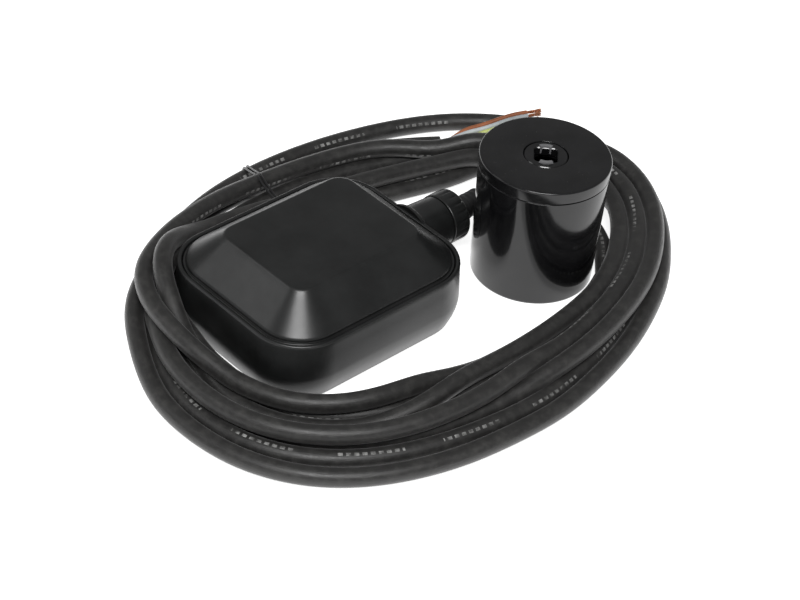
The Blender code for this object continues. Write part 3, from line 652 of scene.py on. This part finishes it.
def hull_round(centres, reach):
    """The taut outline round circles of one radius, as (inset, height) points."""
    around = [centre + reach * np.array((math.cos(a), math.sin(a)))
              for centre in centres for a in np.linspace(0, 2 * math.pi, 24, endpoint=False)]
    around = sorted(tuple(point) for point in around)

    def half(points):
        kept = []
        for point in points:
            while len(kept) > 1 and cross(kept[-2], kept[-1], point) <= 0:
                kept.pop()
            kept.append(point)
        return kept[:-1]

    def cross(o, a, b):
        return (a[0] - o[0]) * (b[1] - o[1]) - (a[1] - o[1]) * (b[0] - o[0])

    return half(around) + half(around[::-1])


def make_tie(angles, lay, paint):
    """Black wire wound twice round the whole bundle and pulled tight."""
    centres = turns_at(TIE_OUTER_ANGLE, angles, lay)
    outline = hull_round(centres, CABLE_RADIUS + TIE_WIRE_RADIUS * 0.8)
    outline = [(inset, max(z, TIE_WIRE_RADIUS)) for inset, z in outline]
    spots = np.array(outline + outline[:1])
    steps = np.concatenate(([0.0], np.cumsum(np.linalg.norm(np.diff(spots, axis=0), axis=1))))
    marks = np.linspace(0, steps[-1], TIE_STEPS, endpoint=False)
    even = [(np.interp(m, steps, spots[:, 0]), np.interp(m, steps, spots[:, 1])) for m in marks]
    skins = []
    for side in (-TIE_HALF_GAP, TIE_HALF_GAP):
        line = [oval_point(TIE_OUTER_ANGLE + TIE_SLANT * inset + side, inset, z) for inset, z in even]
        rings = [ring_round(centre, TIE_WIRE_RADIUS, *across, 10)
                 for centre, across in zip(line, frames_along(line + line[:1]))]
        skins.append(skin(rings, closed=True))
    return add_piece("coil_wire_tie", *joined(skins), paint["tie"], "float", ("coil_tie",), "tie_black")


# ---------------------------------------------------------------- float and counterweight

def shell_loop(inset, z, corner=None):
    """An outline of the float, set in from its rim."""
    return rounded_rectangle(RIM_HALF_X - inset, RIM_HALF_Y - inset,
                             RIM_CORNER - inset if corner is None else corner, z)


def levels_between(start, end, steps):
    """Evenly spaced levels from one (inset, height, corner) level to another."""
    return [tuple(a + (b - a) * share for a, b in zip(start, end)) for share in np.linspace(0, 1, steps)]


def make_tub(paint):
    """Lower shell: crowned walls, rolled rim, and the ledge under the seal."""
    outside = [(4.6, 0.0), (3.9, 0.08), (3.2, 0.35), (2.6, 0.8), (2.15, 1.4), (1.85, 2.2)]
    outside += [(1.85 - 2.75 * math.sin(math.pi / 2 * share), 2.2 + 10.4 * share)
                for share in (0.2, 0.4, 0.6, 0.8)]
    outside += [(-0.95, 12.4), (-0.98, 13.2), (-0.93, 14.2), (-0.7, 18.0), (-0.35, 23.5), (-0.05, 28.2)]
    bead = [(1.05 - 1.15 * math.cos(a), 30.05 + 1.05 * math.sin(a))
            for a in np.linspace(0, math.pi * 0.93, 9)]
    inside = [(2.25, LEDGE_TOP), (6.0, LEDGE_TOP), (6.0, 25.4), (2.6, 22.0), (1.7, 13.0), (5.4, 2.8)]
    levels = [shell_loop(*level) for level in outside + bead + inside]
    add_piece("float_tub", *skin(levels), paint["satin"], "float", ("lower_shell",), "shell_black")


def make_cover(paint):
    """Upper shell: a flat-topped pyramid with rounded corners and softened edges over a thin flange."""
    inside = [(TOP_INSET + 1.2, FLOAT_TOP - 2.4, TOP_CORNER - 1), (7.9, 32.6, 16.1), (6.4, 29.6, 17.6)]
    flange = [(2.6, 29.6, 21.4), (2.6, 30.1, 21.4), (2.75, 30.25, 21.25), (3.55, 30.3, 20.45),
              (3.7, 30.5, 20.3), (3.75, 31.2, 20.25), (4.0, 31.9, 20.0)]
    foot = (4.7, 32.5, 19.3)
    shoulder = (TOP_INSET - 1.5, FLOAT_TOP - 1.35, TOP_CORNER + 1.1)
    edge = []
    for share in np.linspace(0, 1, 7)[1:]:
        bend = math.radians(43 * (1 - share))
        edge.append((TOP_INSET + 0.75 - 3.3 * math.sin(bend), FLOAT_TOP - 5.05 * (1 - math.cos(bend)),
                     TOP_CORNER - 0.5 + 2.4 * math.sin(bend)))
    levels = inside + flange + levels_between(foot, shoulder, 8) + edge
    add_piece("float_cover", *skin([shell_loop(*level) for level in levels]), paint["satin"], "float",
              ("upper_shell",), "shell_black", sharp=32)


def make_neck(paint):
    """Moulded neck with a small fillet where it meets the tub, and the stub that the nut screws on."""
    profile = rounded_profile([(7.6, 56.0, 0), (7.6, 78.5, 0.3), (9.9, 78.5, 0.6), (9.9, 72.6, 0.2),
                               (11.9, 72.6, 0.7), (12.4, 62.0, 0), (12.7, 57.2, 0.8), (15.2, 55.2, 1.2),
                               (15.2, 53.6, 0)])
    add_piece("float_neck", *turned(profile, "X", (0, 0, NECK_HEIGHT)), paint["satin"], "float",
              slot="shell_black")


def make_nut(paint):
    """Gland nut with shallow grip grooves between its plain ends."""
    profile = rounded_profile([(10.2, 72.9, 0), (12.3, 72.9, 0.7), (12.4, 82.5, 1.7), (7.2, 82.5, 0.5),
                               (7.2, 80.1, 0), (10.2, 80.1, 0)], 6)
    loops = []
    for radius, x in profile:
        depth = GROOVE_DEPTH if GROOVES_FROM < x < GROOVES_TO and radius > 12 else 0.0
        loop = []
        for step in range(NUT_STEPS):
            angle = 2 * math.pi * step / NUT_STEPS
            dip = depth * max(0.0, math.cos(NUT_GROOVES * angle)) ** 3
            reach = radius - dip
            loop.append((x, reach * math.cos(angle), reach * math.sin(angle) + NECK_HEIGHT))
        loops.append(loop)
    loops = with_rings_between(loops, 0.5)
    add_piece("gland_nut_grips", *skin(loops, closed=True), paint["satin"], "float", ("gland_nut",),
              "shell_black")


def with_rings_between(loops, spacing):
    """The same closed skin with more loops where two lie further apart than the spacing."""
    finer = []
    for here, there in zip(loops, loops[1:] + loops[:1]):
        gap = math.dist(here[0], there[0])
        count = max(1, round(gap / spacing)) if gap < 12 else 1
        for share in np.arange(count) / count:
            finer.append([tuple(a + (b - a) * share for a, b in zip(p, q)) for p, q in zip(here, there)])
    return finer


def make_weight(paint):
    """Counterweight's cup, its lid with a rounded rim, and the grip insert with its two tabs."""
    place = (*WEIGHT_PLACE, 0)
    cup = rounded_profile([(7.0, 0.0, 0.6), (28.3, 0.0, 1.6), (29.9, 57.4, 0.35), (26.9, 57.4, 0.2),
                           (25.6, 3.2, 1.0), (9.2, 3.2, 0.5), (9.0, 53.7, 0.3), (7.0, 53.7, 0.3)])
    lid = rounded_profile([(7.0, 57.7, 0.2), (7.0, 59.4, 0.2), (10.3, 59.4, 0), (10.3, WEIGHT_TOP, 0.5),
                           (WEIGHT_RADIUS, WEIGHT_TOP, 1.1), (WEIGHT_RADIUS, 57.75, 0.35), (26.4, 57.7, 0),
                           (26.4, 54.5, 0.4), (24.4, 54.5, 0.4), (24.4, 57.7, 0)])
    for part, profile, finish in (("cup", cup, "gloss"), ("lid", lid, "lid")):
        add_piece(f"weight_{part}_turned", *turned(profile, "Z", place, WEIGHT_STEPS), paint[finish],
                  "counterweight", (f"weight_{part}",), "weight_black")
    make_grip(paint)


def make_grip(paint):
    """Round insert with a rounded-square hole, turned an eighth, and a raised tab at two sides of it, the tabs
    painted light grey as a highlight.
    """
    bottom, top = 59.7, 63.5
    hole, rim = (5.2, 5.2, 1.6), (10.0, 10.0, 9.99)
    levels = [(hole, bottom, 0.0), (hole, top - 0.4, 0.0), (hole, top, 0.4), (rim, top, -0.4),
              (rim, top - 0.4, 0.0), (rim, bottom, 0.0)]
    eighth = math.sqrt(0.5)
    loops = []
    for (half_x, half_y, corner), z, out in levels:
        loop = rounded_rectangle(half_x + out, half_y + out, corner + out, z)
        loops.append([((x - y) * eighth + WEIGHT_PLACE[0], (x + y) * eighth + WEIGHT_PLACE[1], z)
                      for x, y, z in loop])
    add_piece("weight_grip_insert", *skin(loops, closed=True), paint["lid"], "counterweight",
              ("weight_grip",), "weight_black")
    for number, (side_x, side_y) in enumerate(((-1, -1), (1, 1)), start=1):
        rows = []
        for lift, shrink in ((-3.0, 0.0), (0.5, 0.0), (0.85, 0.12), (0.95, 0.4)):
            inner, outer = 5.5 + shrink, 7.3 - shrink
            spread = 26 - 5 * shrink
            arc = np.radians(np.linspace(-spread, spread, 9) + 45)
            row = [(outer * math.cos(a), outer * math.sin(a)) for a in arc]
            row += [(inner * math.cos(a), inner * math.sin(a)) for a in arc[::-1]]
            rows.append([(WEIGHT_PLACE[0] + side_x * x, WEIGHT_PLACE[1] + side_y * y, top + lift)
                         for x, y in row])
        # The tabs take the light grey painted-highlight finish, not the lid's black.
        add_piece(f"weight_grip_tab_{number}", *skin(rows), paint["tab"], "counterweight",
                  slot="weight_black")


def finish_inner_parts(paint):
    """Materials for the CAD parts that stay: the switch inside the float and the ballast."""
    chosen = {
        "shell_seal": "seal", "cable_grommet": "seal", "cable_entry": "seal", "clamp_ring": "steel",
        "switch_case": "cream", "case_cover": "cream", "case_seal": "seal_red", "track_frame": "grey",
        "lever_pin": "steel", "switch_housing": "switch_red", "switch_cover": "switch_black",
        "contact_blade": "copper", "steel_ball": "steel", "trip_lever": "brass", "switch_plunger": "cream",
        "weight_ballast": "iron", "inner_lead_brown": "brown", "inner_lead_blue": "blue",
        "inner_lead_earth": "earth",
    }
    for name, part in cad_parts.items():
        finish = chosen.get(name)
        if name.startswith(("case_screw", "switch_pin")):
            finish = "steel"
        if name.startswith("switch_terminal"):
            finish = "brass"
        if finish:
            part.data.materials[0] = paint[finish]


# ---------------------------------------------------------------- stage

def make_camera():
    """The camera at the photograph's viewing angle, rolled a little about its own axis."""
    data = bpy.data.cameras.new("camera")
    data.lens = CAMERA_LENS
    data.sensor_width = SENSOR_WIDTH
    camera = bpy.data.objects.new("camera", data)
    bpy.context.scene.collection.objects.link(camera)
    forward = Vector(CAMERA_FORWARD).normalized()
    level = forward.cross(Vector((0, 0, 1))).normalized()
    above = level.cross(forward)
    roll = math.radians(CAMERA_ROLL)
    right = level * math.cos(roll) + above * math.sin(roll)
    up = above * math.cos(roll) - level * math.sin(roll)
    turn = Matrix((right, up, -forward)).transposed().to_4x4()
    camera.matrix_world = Matrix.Translation(Vector(CAMERA_PLACE) * MM) @ turn
    bpy.context.scene.camera = camera


def make_floor():
    """A wide white floor that also shines a little, as an overexposed studio table does."""
    made, tree, shader, place = start_material("studio_floor")
    patches = noise(tree, place.outputs["Object"], 3.0)
    colour = mixed(tree, patches, (0.90, 0.90, 0.90), (0.93, 0.93, 0.93))
    tree.links.new(colour, shader.inputs["Base Color"])
    shader.inputs["Roughness"].default_value = 0.7
    shader.inputs["Specular IOR Level"].default_value = 0.1
    shader.inputs["Emission Color"].default_value = (1.0, 1.0, 1.0, 1.0)
    shader.inputs["Emission Strength"].default_value = FLOOR_GLOW
    far = FLOOR_HALF_SIZE
    data = bpy.data.meshes.new("studio_floor")
    data.from_pydata([(-far, -far, 0), (far, -far, 0), (far, far, 0), (-far, far, 0)], [], [(0, 1, 2, 3)])
    data.materials.append(made)
    floor = bpy.data.objects.new("studio_floor", data)
    bpy.context.scene.collection.objects.link(floor)


def make_softbox(name, place, target, size, power):
    """A rectangular area light turned towards its target."""
    data = bpy.data.lights.new(name, "AREA")
    data.shape = "RECTANGLE"
    data.size, data.size_y = size
    data.energy = power
    lamp = bpy.data.objects.new(name, data)
    bpy.context.scene.collection.objects.link(lamp)
    lamp.location = place
    lamp.rotation_euler = (Vector(target) - Vector(place)).to_track_quat("-Z", "Y").to_euler()


def make_lights():
    """A dim white surrounding, a small lamp at the left and a wide softbox in front."""
    world = bpy.data.worlds.new("studio")
    world.use_nodes = True
    world.node_tree.nodes["Background"].inputs["Color"].default_value = (1.0, 1.0, 1.0, 1.0)
    world.node_tree.nodes["Background"].inputs["Strength"].default_value = SURROUNDING
    bpy.context.scene.world = world
    for name, lamp in SOFTBOXES.items():
        make_softbox(name, *lamp)
    bpy.context.scene.view_settings.view_transform = "Standard"


# ---------------------------------------------------------------- main

def make_paint():
    """All the materials, by the names that the pieces ask for."""
    paint = {
        "cable": cable_rubber("cable_jacket"),
        "sleeve": moulded("sleeve_rubber", (0.014, 0.014, 0.0145), 0.5),
        "tie": moulded("tie_plastic", (0.01, 0.01, 0.011), 0.35),
        "copper": moulded("copper_strand", (0.80, 0.42, 0.25), 0.3, metallic=1.0),
        "satin": moulded("satin_black", (0.0085, 0.009, 0.009), 0.34, dust=0.03, waviness=0.000006,
                         grain_depth=0.00001, unevenness=0.06),
        "gloss": moulded("gloss_black", (0.005, 0.005, 0.0055), 0.10, dust=0.05, waviness=0.00001,
                         grain_depth=0.000005),
        "lid": moulded("gloss_lid", (0.0055, 0.0055, 0.006), 0.17, dust=0.10, waviness=0.00001,
                       grain_depth=0.00001),
        # Black tabs painted light grey as their highlight, with specks of dust over it.
        "tab": moulded("tab_painted_highlight", (0.16, 0.16, 0.165), 0.28, dust=0.3, waviness=0.00002),
        "seal": moulded("seal_rubber_black", (0.014, 0.014, 0.015), 0.65),
        "seal_red": moulded("seal_rubber_red", (0.35, 0.04, 0.025), 0.6),
        "steel": moulded("turned_steel", (0.55, 0.56, 0.57), 0.22, metallic=1.0, spread=0.1),
        "brass": moulded("rolled_brass", (0.75, 0.55, 0.25), 0.3, metallic=1.0, spread=0.12),
        "iron": moulded("cast_iron", (0.18, 0.17, 0.16), 0.6, metallic=1.0, grain=700.0,
                        grain_depth=0.0002),
        "cream": moulded("cream_plastic", (0.62, 0.57, 0.46), 0.42, spread=0.06),
        "grey": moulded("grey_plastic", (0.42, 0.42, 0.42), 0.42, spread=0.08),
        "switch_red": moulded("red_plastic", (0.42, 0.035, 0.02), 0.35, spread=0.1),
        "switch_black": moulded("black_plastic", (0.012, 0.012, 0.012), 0.35),
    }
    for name, colour in CORE_COLOURS.items():
        paint[name] = moulded(f"core_{name}_sleeve", colour, 0.4)
    return paint


def main():
    make_camera()
    paint = make_paint()
    make_cable(paint)
    make_tub(paint)
    make_cover(paint)
    make_neck(paint)
    make_nut(paint)
    make_weight(paint)
    finish_inner_parts(paint)
    make_floor()
    make_lights()


main()
